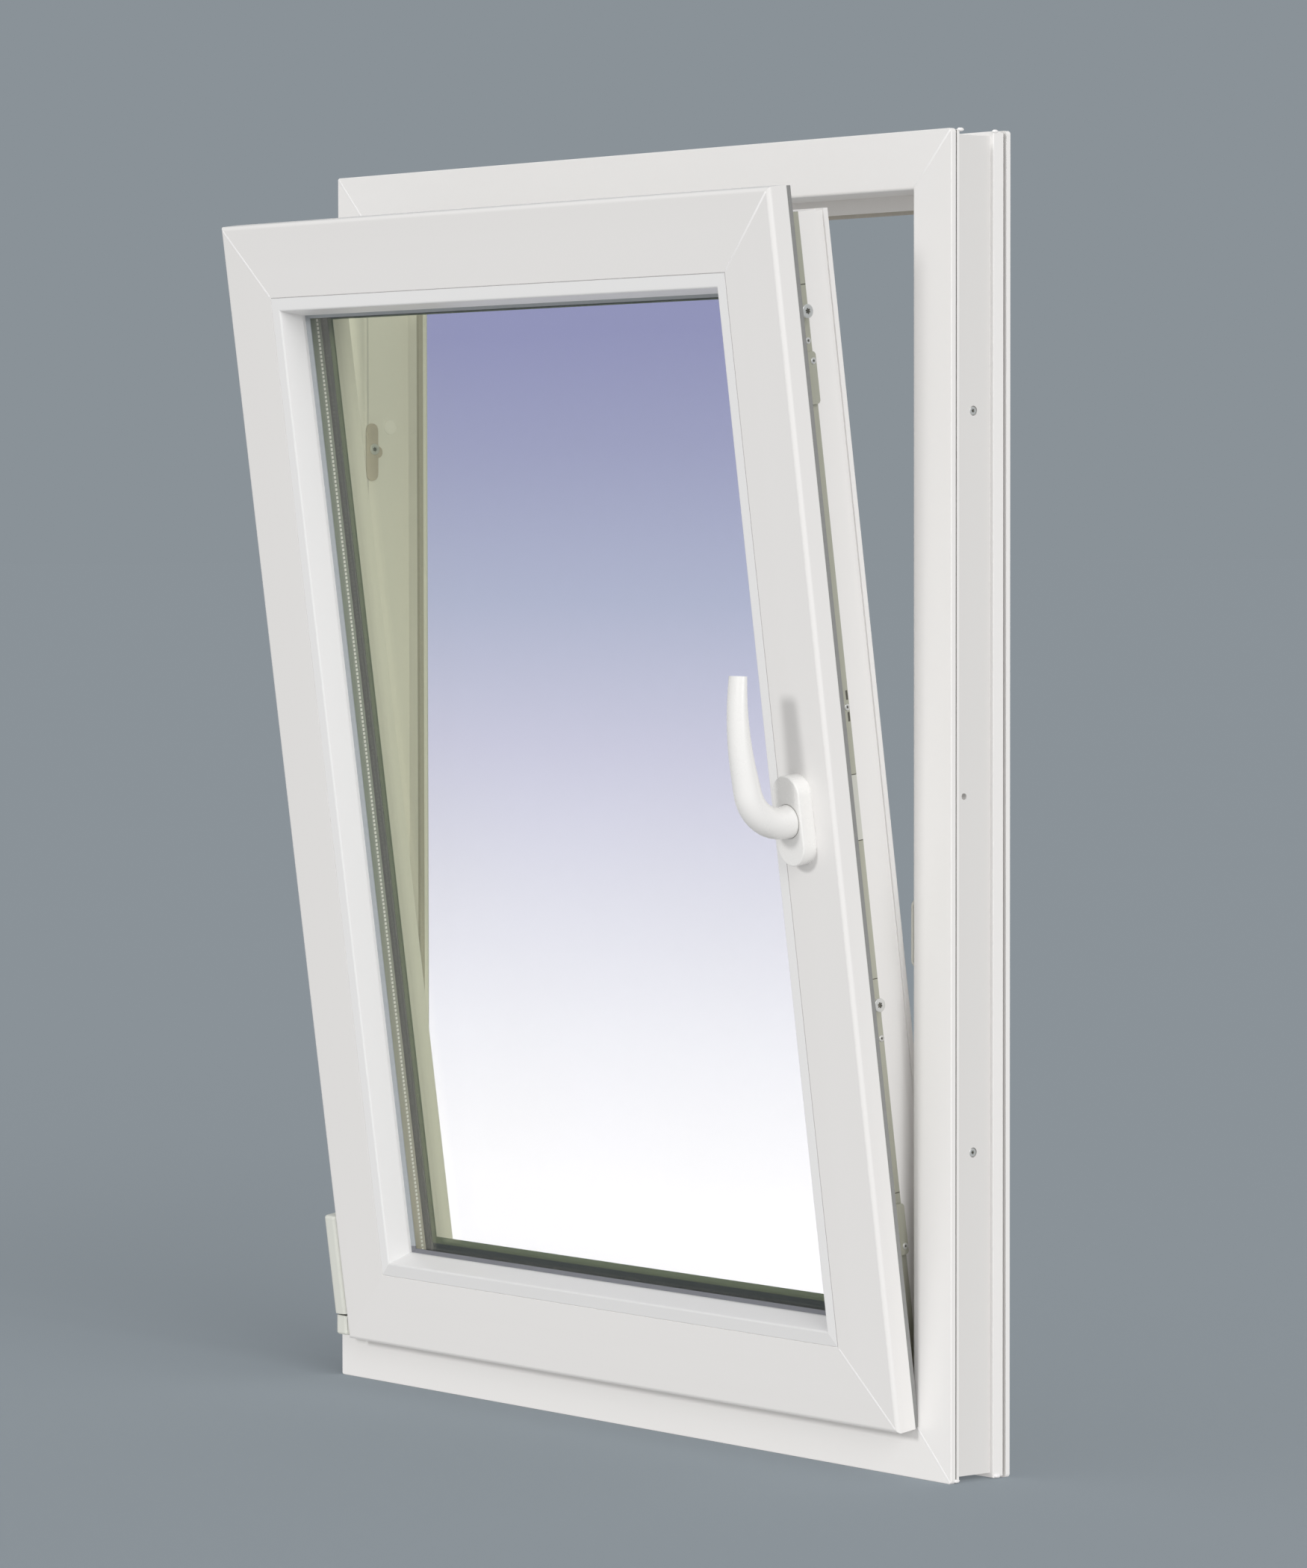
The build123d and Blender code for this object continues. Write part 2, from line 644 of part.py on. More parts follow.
cam_line = sash_front + plate_middle
keeper_line = keeper_edge + keeper_width / 2
lip_line = cam_line - cam_radius - keeper_clearance - keeper_lip / 2
jamb_face = window_width / 2 - frame_face
middle = window_height - handle_drop - right_keeper_below - keeper_length / 2
parts["keeper_right"] = keeper((jamb_face, keeper_line, middle), (0, 0, 1), (-1, 0, 0))
parts["keeper_sill"] = keeper((tilt_cam_x, keeper_line, frame_face), (1, 0, 0), (0, 0, 1))
middle = window_height - left_keeper_drop - left_keeper_length / 2
left_base = Plane(origin=(-jamb_face, keeper_line, middle), x_dir=(0, 0, 1), z_dir=(1, 0, 0))
left_outline = SlotOverall(left_keeper_length, keeper_width) + Pos(0, -lobe_shift) * Circle(lobe_radius)
parts["keeper_left"] = extrude(left_base * left_outline, amount=left_keeper_base)

for name, shape in sash_pieces.items():
    parts[name] = tilted(in_sash(shape))

os.makedirs("parts", exist_ok=True)
for name, shape in parts.items():
    export_step(Pos(0, -channel_middle, -channel_depth) * shape, f"parts/{name}.step")
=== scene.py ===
import math
import bpy
from mathutils import Matrix, Vector


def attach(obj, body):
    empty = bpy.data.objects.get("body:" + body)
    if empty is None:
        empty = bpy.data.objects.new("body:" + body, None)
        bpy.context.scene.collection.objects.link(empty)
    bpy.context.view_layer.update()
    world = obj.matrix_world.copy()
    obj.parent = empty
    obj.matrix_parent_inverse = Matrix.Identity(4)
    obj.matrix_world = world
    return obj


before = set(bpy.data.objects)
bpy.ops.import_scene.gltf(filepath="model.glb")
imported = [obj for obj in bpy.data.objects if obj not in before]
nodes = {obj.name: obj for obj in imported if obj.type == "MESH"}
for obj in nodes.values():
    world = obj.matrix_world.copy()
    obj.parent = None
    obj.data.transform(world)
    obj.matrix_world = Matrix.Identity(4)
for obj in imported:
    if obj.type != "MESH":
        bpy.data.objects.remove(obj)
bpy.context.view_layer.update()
print("frame loaded", len(nodes), "nodes")

# places on the window, in metres
window = {"halfWidth": 0.4, "roomFace": -0.02635, "bottom": -0.0045, "top": 1.0305, "face": 0.045}
sash = {"halfWidth": 0.362, "height": 0.959, "face": 0.062, "tilt": math.radians(7.7),
        "pivotY": -0.03535, "pivotZ": 0.0435, "frontY": -0.04835, "bottomZ": 0.0335, "rebate": 0.022}
sashOut = Vector((0, -math.cos(sash["tilt"]), -math.sin(sash["tilt"])))  # out of its room face
sashUp = Vector((0, -math.sin(sash["tilt"]), math.cos(sash["tilt"])))


def sashPoint(x, depth, drop):  # depth behind the room face, drop below the sash's top edge
    y = sash["frontY"] + depth - sash["pivotY"]
    z = sash["bottomZ"] + sash["height"] - drop - sash["pivotZ"]
    turn = sash["tilt"]
    return Vector((x, sash["pivotY"] + y * math.cos(turn) - z * math.sin(turn),
                   sash["pivotZ"] + y * math.sin(turn) + z * math.cos(turn)))


# shader groups

def newGroup(name, ins, outs):
    group = bpy.data.node_groups.new(name, "ShaderNodeTree")
    for label, kind, value in ins:
        socket = group.interface.new_socket(label, in_out="INPUT", socket_type=kind)
        if value is not None:
            socket.default_value = value
    for label, kind in outs:
        group.interface.new_socket(label, in_out="OUTPUT", socket_type=kind)
    start = group.nodes.new("NodeGroupInput")
    end = group.nodes.new("NodeGroupOutput")
    return group, start, end


def addNode(tree, kind, values=None, **settings):
    node = tree.nodes.new(kind)
    for key, value in settings.items():
        setattr(node, key, value)
    for key, value in (values or {}).items():
        node.inputs[key].default_value = value
    return node


def makeMoulded():  # white plastic: faint clouding, die lines along the bar, finger marks in the gloss
    group, start, end = newGroup("mouldedSkin", [
        ("Vector", "NodeSocketVector", None), ("Colour", "NodeSocketColor", (0.8, 0.79, 0.78, 1)),
        ("Shade", "NodeSocketColor", (0.74, 0.73, 0.7, 1)), ("Clouding", "NodeSocketFloat", 0.25),
        ("Line Depth", "NodeSocketFloat", 0.05), ("Smooth", "NodeSocketFloat", 0.28),
        ("Worn", "NodeSocketFloat", 0.42)],
        [("Colour", "NodeSocketColor"), ("Roughness", "NodeSocketFloat"), ("Normal", "NodeSocketVector")])
    clouds = addNode(group, "ShaderNodeTexNoise", {"Scale": 7.0, "Detail": 5.0, "Roughness": 0.62})
    spread = addNode(group, "ShaderNodeMapRange", {"From Min": 0.42, "From Max": 0.75})
    amount = addNode(group, "ShaderNodeMath", operation="MULTIPLY")
    blend = addNode(group, "ShaderNodeMix", data_type="RGBA")
    lines = addNode(group, "ShaderNodeTexNoise", {"Scale": 420.0, "Detail": 2.0})
    bump = addNode(group, "ShaderNodeBump", {"Distance": 0.0004})
    marks = addNode(group, "ShaderNodeTexNoise", {"Scale": 31.0, "Detail": 6.0, "Roughness": 0.7})
    gloss = addNode(group, "ShaderNodeMapRange", {"From Min": 0.35, "From Max": 0.7})
    link = group.links.new
    link(start.outputs["Vector"], clouds.inputs["Vector"])
    link(start.outputs["Vector"], lines.inputs["Vector"])
    link(start.outputs["Vector"], marks.inputs["Vector"])
    link(clouds.outputs["Fac"], spread.inputs["Value"])
    link(spread.outputs["Result"], amount.inputs[0])
    link(start.outputs["Clouding"], amount.inputs[1])
    link(amount.outputs[0], blend.inputs["Factor"])
    link(start.outputs["Colour"], blend.inputs["A"])
    link(start.outputs["Shade"], blend.inputs["B"])
    link(lines.outputs["Fac"], bump.inputs["Height"])
    link(start.outputs["Line Depth"], bump.inputs["Strength"])
    link(marks.outputs["Fac"], gloss.inputs["Value"])
    link(start.outputs["Smooth"], gloss.inputs["To Min"])
    link(start.outputs["Worn"], gloss.inputs["To Max"])
    link(blend.outputs["Result"], end.inputs["Colour"])
    link(gloss.outputs["Result"], end.inputs["Roughness"])
    link(bump.outputs["Normal"], end.inputs["Normal"])
    return group


def makeZinc():  # passivated steel: cloudy tint, rolling lines, dull spots
    group, start, end = newGroup("zincSkin", [
        ("Vector", "NodeSocketVector", None), ("Colour", "NodeSocketColor", (0.5, 0.49, 0.44, 1)),
        ("Stain", "NodeSocketColor", (0.36, 0.34, 0.25, 1)), ("Staining", "NodeSocketFloat", 0.6)],
        [("Colour", "NodeSocketColor"), ("Roughness", "NodeSocketFloat"), ("Normal", "NodeSocketVector")])
    clouds = addNode(group, "ShaderNodeTexNoise", {"Scale": 60.0, "Detail": 6.0, "Roughness": 0.65})
    spread = addNode(group, "ShaderNodeMapRange", {"From Min": 0.35, "From Max": 0.72})
    amount = addNode(group, "ShaderNodeMath", operation="MULTIPLY")
    blend = addNode(group, "ShaderNodeMix", data_type="RGBA")
    rolled = addNode(group, "ShaderNodeTexNoise", {"Scale": 900.0, "Detail": 3.0})
    gloss = addNode(group, "ShaderNodeMapRange", {"From Min": 0.3, "From Max": 0.75, "To Min": 0.3, "To Max": 0.52})
    bump = addNode(group, "ShaderNodeBump", {"Strength": 0.12, "Distance": 0.0003})
    link = group.links.new
    link(start.outputs["Vector"], clouds.inputs["Vector"])
    link(start.outputs["Vector"], rolled.inputs["Vector"])
    link(clouds.outputs["Fac"], spread.inputs["Value"])
    link(spread.outputs["Result"], amount.inputs[0])
    link(start.outputs["Staining"], amount.inputs[1])
    link(amount.outputs[0], blend.inputs["Factor"])
    link(start.outputs["Colour"], blend.inputs["A"])
    link(start.outputs["Stain"], blend.inputs["B"])
    link(clouds.outputs["Fac"], gloss.inputs["Value"])
    link(rolled.outputs["Fac"], bump.inputs["Height"])
    link(blend.outputs["Result"], end.inputs["Colour"])
    link(gloss.outputs["Result"], end.inputs["Roughness"])
    link(bump.outputs["Normal"], end.inputs["Normal"])
    return group


def makeSlotShade():  # painted shade in the slots and channel round the outside of the frame, and a painted shadow line along the jambs inside
    group, start, end = newGroup("paintedSlotShade", [
        ("Vector", "NodeSocketVector", None), ("Front Slot", "NodeSocketFloat", -0.02095),
        ("Rear Slot", "NodeSocketFloat", 0.02875), ("Half Width", "NodeSocketFloat", 0.00095),
        ("Rear Share", "NodeSocketFloat", 0.15), ("Channel Share", "NodeSocketFloat", 0.22),
        ("Channel Side", "NodeSocketFloat", 0.3965), ("Channel Middle", "NodeSocketFloat", -0.0024),
        ("Channel Half", "NodeSocketFloat", 0.0193), ("Line Share", "NodeSocketFloat", 0.4),
        ("Line Place", "NodeSocketFloat", -0.0235), ("Line Half", "NodeSocketFloat", 0.0009),
        ("Line Side", "NodeSocketFloat", 0.355), ("Line Reach", "NodeSocketFloat", 0.0006),
        ("Side", "NodeSocketFloat", 0.3915), ("Low", "NodeSocketFloat", 0.0035), ("High", "NodeSocketFloat", 1.0225)],
        [("Mask", "NodeSocketFloat")])
    parts = addNode(group, "ShaderNodeSeparateXYZ")
    nearFront = addNode(group, "ShaderNodeMath", operation="COMPARE")
    nearRear = addNode(group, "ShaderNodeMath", operation="COMPARE")
    paler = addNode(group, "ShaderNodeMath", operation="MULTIPLY")
    inChannel = addNode(group, "ShaderNodeMath", operation="LESS_THAN")
    midDepth = addNode(group, "ShaderNodeMath", operation="COMPARE")
    isFloor = addNode(group, "ShaderNodeMath", operation="MULTIPLY")
    channel = addNode(group, "ShaderNodeMath", operation="MULTIPLY")
    anyBand = addNode(group, "ShaderNodeMath", operation="MAXIMUM")
    atLine = addNode(group, "ShaderNodeMath", operation="COMPARE")
    atJamb = addNode(group, "ShaderNodeMath", operation="COMPARE")
    onLine = addNode(group, "ShaderNodeMath", operation="MULTIPLY")
    line = addNode(group, "ShaderNodeMath", operation="MULTIPLY")
    both = addNode(group, "ShaderNodeMath", operation="MAXIMUM")
    anySlot = addNode(group, "ShaderNodeMath", operation="MAXIMUM")
    across = addNode(group, "ShaderNodeMath", operation="ABSOLUTE")
    atSide = addNode(group, "ShaderNodeMath", operation="GREATER_THAN")
    atBottom = addNode(group, "ShaderNodeMath", operation="LESS_THAN")
    atTop = addNode(group, "ShaderNodeMath", operation="GREATER_THAN")
    atEnd = addNode(group, "ShaderNodeMath", operation="MAXIMUM")
    outside = addNode(group, "ShaderNodeMath", operation="MAXIMUM")
    mask = addNode(group, "ShaderNodeMath", operation="MULTIPLY")
    link = group.links.new
    link(start.outputs["Vector"], parts.inputs[0])
    for node, name in ((nearFront, "Front Slot"), (nearRear, "Rear Slot")):
        link(parts.outputs["Y"], node.inputs[0])
        link(start.outputs[name], node.inputs[1])
        link(start.outputs["Half Width"], node.inputs[2])
    link(nearFront.outputs[0], anySlot.inputs[0])
    link(nearRear.outputs[0], paler.inputs[0])
    link(start.outputs["Rear Share"], paler.inputs[1])
    link(paler.outputs[0], anySlot.inputs[1])
    link(parts.outputs["X"], across.inputs[0])
    link(across.outputs[0], atSide.inputs[0])
    link(start.outputs["Side"], atSide.inputs[1])
    link(parts.outputs["Z"], atBottom.inputs[0])
    link(start.outputs["Low"], atBottom.inputs[1])
    link(parts.outputs["Z"], atTop.inputs[0])
    link(start.outputs["High"], atTop.inputs[1])
    link(atBottom.outputs[0], atEnd.inputs[0])
    link(atTop.outputs[0], atEnd.inputs[1])
    link(atSide.outputs[0], outside.inputs[0])
    link(atEnd.outputs[0], outside.inputs[1])
    link(across.outputs[0], inChannel.inputs[0])
    link(start.outputs["Channel Side"], inChannel.inputs[1])
    link(parts.outputs["Y"], midDepth.inputs[0])
    link(start.outputs["Channel Middle"], midDepth.inputs[1])
    link(start.outputs["Channel Half"], midDepth.inputs[2])
    link(inChannel.outputs[0], isFloor.inputs[0])
    link(midDepth.outputs[0], isFloor.inputs[1])
    link(isFloor.outputs[0], channel.inputs[0])
    link(start.outputs["Channel Share"], channel.inputs[1])
    link(anySlot.outputs[0], anyBand.inputs[0])
    link(channel.outputs[0], anyBand.inputs[1])
    link(anyBand.outputs[0], mask.inputs[0])
    link(outside.outputs[0], mask.inputs[1])
    link(parts.outputs["Y"], atLine.inputs[0])
    link(start.outputs["Line Place"], atLine.inputs[1])
    link(start.outputs["Line Half"], atLine.inputs[2])
    link(across.outputs[0], atJamb.inputs[0])
    link(start.outputs["Line Side"], atJamb.inputs[1])
    link(start.outputs["Line Reach"], atJamb.inputs[2])
    link(atLine.outputs[0], onLine.inputs[0])
    link(atJamb.outputs[0], onLine.inputs[1])
    link(onLine.outputs[0], line.inputs[0])
    link(start.outputs["Line Share"], line.inputs[1])
    link(mask.outputs[0], both.inputs[0])
    link(line.outputs[0], both.inputs[1])
    link(both.outputs[0], end.inputs["Mask"])
    return group


mouldedSkin = makeMoulded()
paintedSlotShade = makeSlotShade()
zincSkin = makeZinc()


def newMaterial(name, roughness=0.5):
    material = bpy.data.materials.new(name)
    material.use_nodes = True
    tree = material.node_tree
    shader = tree.nodes["Principled BSDF"]
    shader.inputs["Roughness"].default_value = roughness
    place = addNode(tree, "ShaderNodeTexCoord")
    return material, tree, shader, place.outputs["Object"]


def along(tree, vector, stretch, tilt=0.0):  # lines up a pattern with a bar and draws it out along the bar
    turned = addNode(tree, "ShaderNodeVectorRotate", {"Angle": -tilt}, rotation_type="X_AXIS")
    drawn = addNode(tree, "ShaderNodeVectorMath", {1: stretch}, operation="MULTIPLY")
    tree.links.new(vector, turned.inputs["Vector"])
    tree.links.new(turned.outputs["Vector"], drawn.inputs[0])
    return drawn.outputs["Vector"]


def plasticMaterial(name, look, stretch=(1, 1, 1), tilt=0.0):
    material, tree, shader, place = newMaterial(name)
    skin = addNode(tree, "ShaderNodeGroup", node_tree=mouldedSkin)
    for key, value in look.items():
        skin.inputs[key].default_value = value
    tree.links.new(along(tree, place, stretch, tilt), skin.inputs["Vector"])
    tree.links.new(skin.outputs["Colour"], shader.inputs["Base Color"])
    tree.links.new(skin.outputs["Roughness"], shader.inputs["Roughness"])
    tree.links.new(skin.outputs["Normal"], shader.inputs["Normal"])
    return material


def frameMaterial(name, look, stretch, slotShadeColour):  # plastic with painted shade in the slots and channel round the outside, and a painted shadow line along the jambs inside
    material = plasticMaterial(name, look, stretch)
    tree = material.node_tree
    shader = tree.nodes["Principled BSDF"]
    skin = shader.inputs["Base Color"].links[0].from_socket
    place = addNode(tree, "ShaderNodeTexCoord")
    dustAndShade = addNode(tree, "ShaderNodeGroup", node_tree=paintedSlotShade)
    tone = addNode(tree, "ShaderNodeMix", {"B": (*slotShadeColour, 1)}, data_type="RGBA")
    tree.links.new(place.outputs["Object"], dustAndShade.inputs["Vector"])
    tree.links.new(dustAndShade.outputs["Mask"], tone.inputs["Factor"])
    tree.links.new(skin, tone.inputs["A"])
    tree.links.new(tone.outputs["Result"], shader.inputs["Base Color"])
    return material


def metalMaterial(name, look, metallic=1.0, stretch=(1, 1, 1), tilt=0.0):
    material, tree, shader, place = newMaterial(name)
    shader.inputs["Metallic"].default_value = metallic
    skin = addNode(tree, "ShaderNodeGroup", node_tree=zincSkin)
    for key, value in look.items():
        skin.inputs[key].default_value = value
    tree.links.new(along(tree, place, stretch, tilt), skin.inputs["Vector"])
    tree.links.new(skin.outputs["Colour"], shader.inputs["Base Color"])
    tree.links.new(skin.outputs["Roughness"], shader.inputs["Roughness"])
    tree.links.new(skin.outputs["Normal"], shader.inputs["Normal"])
    return material


def sealMaterial(name, colour, dustAndShade):
    material, tree, shader, place = newMaterial(name)
    grain = addNode(tree, "ShaderNodeTexNoise", {"Scale": 260.0, "Detail": 5.0})
    tone = addNode(tree, "ShaderNodeMix", {"A": (*colour, 1), "B": (*dustAndShade, 1)}, data_type="RGBA")
    dull = addNode(tree, "ShaderNodeMapRange", {"To Min": 0.55, "To Max": 0.8})
    bump = addNode(tree, "ShaderNodeBump", {"Strength": 0.2, "Distance": 0.0003})
    link = tree.links.new
    link(place, grain.inputs["Vector"])
    link(grain.outputs["Fac"], tone.inputs["Factor"])
    link(grain.outputs["Fac"], dull.inputs["Value"])
    link(grain.outputs["Fac"], bump.inputs["Height"])
    link(tone.outputs["Result"], shader.inputs["Base Color"])
    link(dull.outputs["Result"], shader.inputs["Roughness"])
    link(bump.outputs["Normal"], shader.inputs["Normal"])
    return material


def paintShadeBelow(material, height, colour):  # painted shade on the bar of a seal that lies flat at the bottom
    tree = material.node_tree
    base = tree.nodes["Principled BSDF"].inputs["Base Color"]
    place = addNode(tree, "ShaderNodeTexCoord")
    parts = addNode(tree, "ShaderNodeSeparateXYZ")
    low = addNode(tree, "ShaderNodeMath", {1: height}, operation="LESS_THAN")
    tone = addNode(tree, "ShaderNodeMix", {"B": (*colour, 1)}, data_type="RGBA")
    tree.links.new(place.outputs["Object"], parts.inputs[0])
    tree.links.new(parts.outputs["Z"], low.inputs[0])
    tree.links.new(low.outputs[0], tone.inputs["Factor"])
    tree.links.new(base.links[0].from_socket, tone.inputs["A"])
    tree.links.new(tone.outputs["Result"], base)


def glassMaterial(name, look):
    material, tree, shader, place = newMaterial(name, 0.0)
    shader.inputs["Transmission Weight"].default_value = 1.0
    shader.inputs["IOR"].default_value = 1.5
    haze = addNode(tree, "ShaderNodeTexNoise", {"Scale": 3.0, "Detail": 2.0})
    tone = addNode(tree, "ShaderNodeMix", {"A": (*look["clear"], 1), "B": (*look["deep"], 1)}, data_type="RGBA")
    letLight = addNode(tree, "ShaderNodeBsdfTransparent", {"Color": (*look["shadow"], 1)})
    rays = addNode(tree, "ShaderNodeLightPath")
    passes = addNode(tree, "ShaderNodeMath", operation="MAXIMUM")
    mixed = addNode(tree, "ShaderNodeMixShader")
    link = tree.links.new
    link(place, haze.inputs["Vector"])
    link(haze.outputs["Fac"], tone.inputs["Factor"])
    link(tone.outputs["Result"], shader.inputs["Base Color"])
    link(rays.outputs["Is Shadow Ray"], passes.inputs[0])
    link(rays.outputs["Is Diffuse Ray"], passes.inputs[1])
    link(passes.outputs[0], mixed.inputs[0])
    link(shader.outputs[0], mixed.inputs[1])
    link(letLight.outputs[0], mixed.inputs[2])
    link(mixed.outputs[0], tree.nodes["Material Output"].inputs["Surface"])
    return material


def spacerMaterial(name, look):  # aluminium bar with a row of pale pin holes, painted darker at the top as shade and paler at the bottom as light
    material, tree, shader, place = newMaterial(name, 0.45)
    shader.inputs["Metallic"].default_value = 0.2
    turned = addNode(tree, "ShaderNodeVectorRotate", {"Angle": -sash["tilt"]}, rotation_type="X_AXIS")
    parts = addNode(tree, "ShaderNodeSeparateXYZ")
    sums = addNode(tree, "ShaderNodeMath", operation="ADD")
    step = addNode(tree, "ShaderNodeMath", {1: look["pitch"]}, operation="DIVIDE")
    wave = addNode(tree, "ShaderNodeMath", operation="FRACT")
    dots = addNode(tree, "ShaderNodeMath", {1: look["dot"]}, operation="LESS_THAN")
    row = addNode(tree, "ShaderNodeMath", {1: look["rowY"]}, operation="SUBTRACT")
    near = addNode(tree, "ShaderNodeMath", operation="ABSOLUTE")
    inRow = addNode(tree, "ShaderNodeMath", {1: look["rowHalf"]}, operation="LESS_THAN")
    both = addNode(tree, "ShaderNodeMath", operation="MULTIPLY")
    fall = addNode(tree, "ShaderNodeMapRange", {"From Min": look["fadeTop"], "From Max": look["fadeLow"]})
    bar = addNode(tree, "ShaderNodeMix", {"A": (*look["bar"], 1), "B": (*look["lowBar"], 1)}, data_type="RGBA")
    tone = addNode(tree, "ShaderNodeMix", {"B": (*look["hole"], 1)}, data_type="RGBA")
    link = tree.links.new
    link(place, turned.inputs["Vector"])
    link(turned.outputs["Vector"], parts.inputs[0])
    link(parts.outputs["X"], sums.inputs[0])
    link(parts.outputs["Z"], sums.inputs[1])
    link(sums.outputs[0], step.inputs[0])
    link(step.outputs[0], wave.inputs[0])
    link(wave.outputs[0], dots.inputs[0])
    link(parts.outputs["Y"], row.inputs[0])
    link(row.outputs[0], near.inputs[0])
    link(near.outputs[0], inRow.inputs[0])
    link(dots.outputs[0], both.inputs[0])
    link(inRow.outputs[0], both.inputs[1])
    link(parts.outputs["Z"], fall.inputs["Value"])
    link(fall.outputs["Result"], bar.inputs["Factor"])
    link(bar.outputs["Result"], tone.inputs["A"])
    link(both.outputs[0], tone.inputs["Factor"])
    link(tone.outputs["Result"], shader.inputs["Base Color"])
    return material


upright, level = (1, 1, 0.02), (0.02, 1, 1)
profileLook = {"Colour": (0.85, 0.835, 0.82, 1), "Shade": (0.8, 0.782, 0.755, 1), "Clouding": 0.35, "Line Depth": 0.04}
# the frame's copy of the same white as the sash, painted lighter as light
litFrameLook = {"Colour": (0.9, 0.885, 0.87, 1), "Shade": (0.85, 0.832, 0.805, 1), "Clouding": 0.35, "Line Depth": 0.04}
beadLook = {"Colour": (0.87, 0.865, 0.86, 1), "Shade": (0.82, 0.81, 0.795, 1), "Clouding": 0.3, "Line Depth": 0.03}
# the bottom bead's copy of the bead white, painted darker as shade
shadedLowBeadLook = {"Colour": (0.79, 0.785, 0.78, 1), "Shade": (0.75, 0.74, 0.73, 1), "Clouding": 0.3, "Line Depth": 0.03}
handleLook = {"Colour": (0.88, 0.872, 0.855, 1), "Shade": (0.84, 0.828, 0.8, 1), "Clouding": 0.3, "Line Depth": 0.02,
              "Smooth": 0.22, "Worn": 0.34}
coverLook = {"Colour": (0.74, 0.75, 0.69, 1), "Shade": (0.67, 0.67, 0.6, 1), "Clouding": 0.4, "Line Depth": 0.08,
             "Smooth": 0.38, "Worn": 0.52}
gearLook = {"Colour": (0.5, 0.5, 0.42, 1), "Stain": (0.4, 0.395, 0.31, 1), "Staining": 0.6}
brightLook = {"Colour": (0.78, 0.78, 0.76, 1), "Stain": (0.6, 0.59, 0.54, 1), "Staining": 0.4}
plateLook = {"Colour": (0.68, 0.68, 0.62, 1), "Stain": (0.58, 0.57, 0.5, 1), "Staining": 0.4}
keeperLook = {"Colour": (0.6, 0.53, 0.46, 1), "Stain": (0.5, 0.44, 0.37, 1), "Staining": 0.5}
darkLook = {"Colour": (0.2, 0.19, 0.16, 1), "Stain": (0.1, 0.095, 0.08, 1), "Staining": 0.6}
glassLook = {"clear": (0.935, 0.945, 0.835), "deep": (0.915, 0.925, 0.8), "shadow": (0.985, 0.985, 0.978)}
# the spacer's bar is painted darker at the top as shade and paler at the bottom as light
spacerLook = {"bar": (0.31, 0.35, 0.3), "lowBar": (0.52, 0.5, 0.42), "hole": (0.95, 0.95, 0.95), "pitch": 0.0034,
              "dot": 0.65, "rowY": -0.0056, "rowHalf": 0.001, "fadeTop": 0.45, "fadeLow": 0.15}

# colour of the painted shade in the frame's slots and channel and on the jamb line
slotShadeTone = (0.34, 0.33, 0.31)
frameUpright = frameMaterial("frameUpright", litFrameLook, upright, slotShadeTone)
frameLevel = frameMaterial("frameLevel", litFrameLook, level, slotShadeTone)
sashUpright = plasticMaterial("sashUpright", profileLook, upright, sash["tilt"])
sashLevel = plasticMaterial("sashLevel", profileLook, level, sash["tilt"])
beadUpright = plasticMaterial("beadUpright", beadLook, upright, sash["tilt"])
beadLevel = plasticMaterial("beadLevel", beadLook, level, sash["tilt"])
# bottom bead: same plastic as the other beads, painted darker as shade
beadLowShaded = plasticMaterial("beadLowShaded", shadedLowBeadLook, level, sash["tilt"])
handlePaint = plasticMaterial("handlePaint", handleLook)
coverPlastic = plasticMaterial("coverPlastic", coverLook)
gearSteel = metalMaterial("gearSteel", gearLook, 0.3, upright, sash["tilt"])
gearSteelLevel = metalMaterial("gearSteelLevel", gearLook, 0.3, level, sash["tilt"])
plateSteel = metalMaterial("plateSteel", plateLook, 0.3, upright, sash["tilt"])
keeperSteel = metalMaterial("keeperSteel", keeperLook, 0.1)
brightZinc = metalMaterial("brightZinc", brightLook, 0.6)
# dark steel for the gear joints, also used as painted shade in the slots, screw sockets and hinge gap
darkSteelAndShade = metalMaterial("darkSteelAndShade", darkLook, 0.8)
sealGrey = sealMaterial("sealGrey", (0.24, 0.242, 0.24), (0.3, 0.3, 0.29))
glazingSeal = sealMaterial("glazingSeal", (0.34, 0.37, 0.39), (0.42, 0.44, 0.455))
# painted shade on the bottom bar of the inner glazing seal
lowSealShade = {"below": 0.1185, "tone": (0.19, 0.195, 0.215)}
paintShadeBelow(glazingSeal, lowSealShade["below"], lowSealShade["tone"])
frameSeal = sealMaterial("frameSeal", (0.42, 0.39, 0.34), (0.5, 0.47, 0.41))
outerSeal = sealMaterial("outerSeal", (0.035, 0.042, 0.06), (0.07, 0.075, 0.09))
edgeSealant = sealMaterial("edgeSealant", (0.02, 0.021, 0.025), (0.05, 0.05, 0.055))
clearGlass = glassMaterial("clearGlass", glassLook)
spacerMetal = spacerMaterial("spacerMetal", spacerLook)

